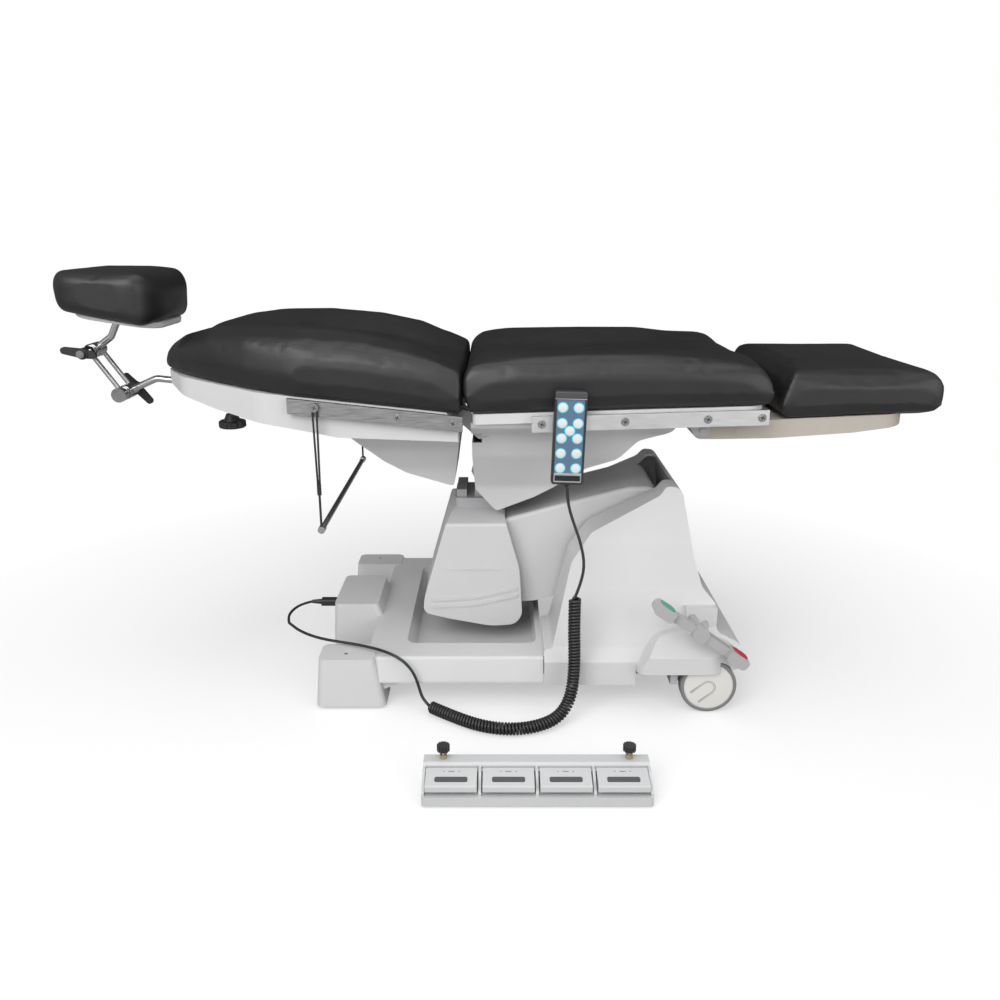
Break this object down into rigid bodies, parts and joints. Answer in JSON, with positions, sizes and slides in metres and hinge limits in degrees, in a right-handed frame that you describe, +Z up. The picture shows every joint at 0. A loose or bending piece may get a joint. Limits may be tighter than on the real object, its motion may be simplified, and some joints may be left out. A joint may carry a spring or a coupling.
{
  "type": "procedure chair",
  "caption": "Powered procedure chair on a wheeled base, with arm lift, tilting seat, folding back and leg rest, headrest, paper roll bar, corded handset and foot control.",
  "frame": {"origin": "bottom centre of the box around the whole chair without its free cord, on the floor", "axes": "+X to the foot end along the longest extent, +Y to the far side of the chair, +Z up"},
  "size_m": [1.952, 1.087, 0.9474],
  "materials": {
    "cover": "smooth pale grey moulded plastic, satin",
    "base_plastic": "off-white moulded plastic, fine grain",
    "frame_paint": "pale grey paint over steel",
    "steel": "plated steel, satin",
    "rail": "brushed clear anodised aluminium",
    "back_rail": "mottled brushed stainless steel",
    "leatherette": "black coated upholstery fabric, satin grain",
    "dark_plastic": "dark charcoal plastic",
    "foil": "slate blue membrane foil with white keys",
    "grey_plastic": "mid grey plastic",
    "lever_paint": "light grey powder coat",
    "green_pad": "green moulded pad",
    "red_pad": "red moulded pad",
    "tyre": "grey non-marking tread",
    "beige_plastic": "beige moulded plastic",
    "cord": "dark grey flexible cord jacket",
    "pedal": "grey moulded pedal, ribbed",
    "loop": "black elastic loop"
  },
  "bodies": {
    "base": {"base_frame": "frame_paint", "base_cover": "base_plastic", "lift_housing": "cover", "lift_actuator": "grey_plastic", "cord_inlet": "grey_plastic", "handset_plug": "dark_plastic", "cord_lead": "cord", "cord_coil": "cord", "cord_upper": "cord", "foot_control_base": "grey_plastic"},
    "wheel_near": {"wheel_near": "base_plastic", "wheel_tyre_near": "tyre"},
    "wheel_far": {"wheel_far": "base_plastic", "wheel_tyre_far": "tyre"},
    "caster_near": {"caster_fork_near": "steel"},
    "caster_far": {"caster_fork_far": "steel"},
    "caster_roller_near": {"caster_wheel_near": "tyre"},
    "caster_roller_far": {"caster_wheel_far": "tyre"},
    "brake": {"brake_lever": "lever_paint", "brake_pads_green": "green_pad", "brake_pads_red": "red_pad"},
    "lift_arm": {"upper_arm": "frame_paint", "arm_cover": "cover"},
    "lower_arm": {"lower_arm": "frame_paint"},
    "carriage": {"carriage": "frame_paint", "column_shroud": "cover"},
    "seat": {"seat_frame": "frame_paint", "seat_pan": "base_plastic", "seat_belly": "cover", "seat_actuators": "grey_plastic", "seat_cushion": "leatherette", "seat_rails": "rail", "seat_bolts": "steel"},
    "back": {"back_board": "cover", "back_belly": "cover", "back_cushion": "leatherette", "back_cushion_fold": "leatherette", "back_rails": "back_rail", "back_bolts": "steel"},
    "head_lock": {"head_lock_knob": "dark_plastic"},
    "head_bar": {"headrest_bar": "steel"},
    "head_link": {"lower_knuckle": "steel", "link_rods": "steel"},
    "lower_lever": {"lower_lever": "dark_plastic"},
    "headrest": {"upper_knuckle": "steel", "headrest_plate": "base_plastic", "headrest_cushion": "leatherette"},
    "upper_lever": {"upper_lever": "dark_plastic"},
    "leg": {"leg_board": "beige_plastic", "leg_cushion": "leatherette"},
    "roll_bar": {"roll_bar": "steel", "roll_bar_loops": "loop"},
    "handset": {"handset_case": "dark_plastic", "handset_keypad": "foil"},
    "foot_knob_left": {"foot_knob_left": "dark_plastic"},
    "foot_knob_right": {"foot_knob_right": "dark_plastic"},
    "foot_pedal_1": {"foot_pedal_1": "pedal"},
    "foot_pedal_2": {"foot_pedal_2": "pedal"},
    "foot_pedal_3": {"foot_pedal_3": "pedal"},
    "foot_pedal_4": {"foot_pedal_4": "pedal"}
  },
  "joints": [
    {"name": "wheel_near_roll", "type": "hinge", "parent": "base", "child": "wheel_near", "pos_m": [0.492, -0.1825, 0.0625], "axis": [0, 1, 0], "continuous": true},
    {"name": "wheel_far_roll", "type": "hinge", "parent": "base", "child": "wheel_far", "pos_m": [0.492, 0.4895, 0.0625], "axis": [0, 1, 0], "continuous": true},
    {"name": "caster_near_swivel", "type": "hinge", "parent": "base", "child": "caster_near", "pos_m": [-0.295, -0.1385, 0.06], "axis": [0, 0, 1], "continuous": true},
    {"name": "caster_near_roll", "type": "hinge", "parent": "caster_near", "child": "caster_roller_near", "pos_m": [-0.281, -0.1385, 0.022], "axis": [0, 1, 0], "continuous": true},
    {"name": "caster_far_swivel", "type": "hinge", "parent": "base", "child": "caster_far", "pos_m": [-0.295, 0.4455, 0.06], "axis": [0, 0, 1], "continuous": true},
    {"name": "caster_far_roll", "type": "hinge", "parent": "caster_far", "child": "caster_roller_far", "pos_m": [-0.281, 0.4455, 0.022], "axis": [0, 1, 0], "continuous": true},
    {"name": "brake_rock", "type": "hinge", "parent": "base", "child": "brake", "pos_m": [0.461, 0.1535, 0.2], "axis": [0, 1, 0], "range_deg": [-24, 0]},
    {"name": "lift", "type": "hinge", "parent": "base", "child": "lift_arm", "pos_m": [0.375, 0.1535, 0.425], "axis": [0, 1, 0], "range_deg": [0, 40]},
    {"name": "lift_follow", "type": "hinge", "parent": "base", "child": "lower_arm", "pos_m": [0.375, 0.1535, 0.305], "axis": [0, 1, 0], "range_deg": [0, 40]},
    {"name": "carriage_level", "type": "hinge", "parent": "lift_arm", "child": "carriage", "pos_m": [-0.017, 0.1535, 0.333], "axis": [0, 1, 0], "range_deg": [-40, 0]},
    {"name": "seat_tilt", "type": "hinge", "parent": "carriage", "child": "seat", "pos_m": [0.002, 0.1535, 0.47], "axis": [0, -1, 0], "range_deg": [0, 12]},
    {"name": "back_recline", "type": "hinge", "parent": "seat", "child": "back", "pos_m": [-0.049, 0.1535, 0.65], "axis": [0, 1, 0], "range_deg": [0, 70], "deforming": ["back_cushion_fold"]},
    {"name": "leg_drop", "type": "hinge", "parent": "seat", "child": "leg", "pos_m": [0.465, 0.1535, 0.618], "axis": [0, 1, 0], "range_deg": [0, 70]},
    {"name": "head_extend", "type": "slide", "parent": "back", "child": "head_bar", "axis": [-0.9943, 0, 0.1064], "range_m": [-0.03, 0.06]},
    {"name": "head_lock_turn", "type": "hinge", "parent": "back", "child": "head_lock", "pos_m": [-0.617, 0.1535, 0.59], "axis": [0, 0, 1], "range_deg": [-180, 180]},
    {"name": "head_link_tilt", "type": "hinge", "parent": "head_bar", "child": "head_link", "pos_m": [-0.86, 0.1535, 0.661], "axis": [0, 1, 0], "range_deg": [-50, 4]},
    {"name": "lower_lever_turn", "type": "hinge", "parent": "head_link", "child": "lower_lever", "pos_m": [-0.86, 0.2085, 0.661], "axis": [0, 1, 0], "range_deg": [-60, 60]},
    {"name": "headrest_tilt", "type": "hinge", "parent": "head_link", "child": "headrest", "pos_m": [-0.926, 0.1535, 0.759], "axis": [0, 1, 0], "range_deg": [-40, 6]},
    {"name": "upper_lever_turn", "type": "hinge", "parent": "headrest", "child": "upper_lever", "pos_m": [-0.926, 0.0895, 0.759], "axis": [0, 1, 0], "range_deg": [-60, 60]},
    {"name": "roll_bar_swing", "type": "hinge", "parent": "back", "child": "roll_bar", "pos_m": [-0.353, 0.1535, 0.681], "axis": [0, 1, 0], "range_deg": [-35, 30]},
    {"name": "handset_lift", "type": "slide", "parent": "seat", "child": "handset", "axis": [0.0297, 0, 0.9996], "range_m": [0, 0.05]},
    {"name": "foot_pedal_1_press", "type": "hinge", "parent": "base", "child": "foot_pedal_1", "pos_m": [-0.062, -0.4925, 0.047], "axis": [1, 0, 0], "range_deg": [0, 6], "stiffness_Nm_per_rad": 1.2, "springref_deg": -2.86},
    {"name": "foot_pedal_2_press", "type": "hinge", "parent": "base", "child": "foot_pedal_2", "pos_m": [0.046, -0.4925, 0.047], "axis": [1, 0, 0], "range_deg": [0, 6], "stiffness_Nm_per_rad": 1.2, "springref_deg": -2.86},
    {"name": "foot_pedal_3_press", "type": "hinge", "parent": "base", "child": "foot_pedal_3", "pos_m": [0.154, -0.4925, 0.047], "axis": [1, 0, 0], "range_deg": [0, 6], "stiffness_Nm_per_rad": 1.2, "springref_deg": -2.86},
    {"name": "foot_pedal_4_press", "type": "hinge", "parent": "base", "child": "foot_pedal_4", "pos_m": [0.262, -0.4925, 0.047], "axis": [1, 0, 0], "range_deg": [0, 6], "stiffness_Nm_per_rad": 1.2, "springref_deg": -2.86},
    {"name": "foot_knob_left_turn", "type": "hinge", "parent": "base", "child": "foot_knob_left", "pos_m": [-0.079, -0.4675, 0.058], "axis": [0, 0, 1], "range_deg": [-180, 180]},
    {"name": "foot_knob_right_turn", "type": "hinge", "parent": "base", "child": "foot_knob_right", "pos_m": [0.279, -0.4675, 0.058], "axis": [0, 0, 1], "range_deg": [-180, 180]}
  ],
  "couplings": [
    {"joint": "lift_follow", "follows": "lift", "ratio": 1},
    {"joint": "carriage_level", "follows": "lift", "ratio": -1}
  ]
}
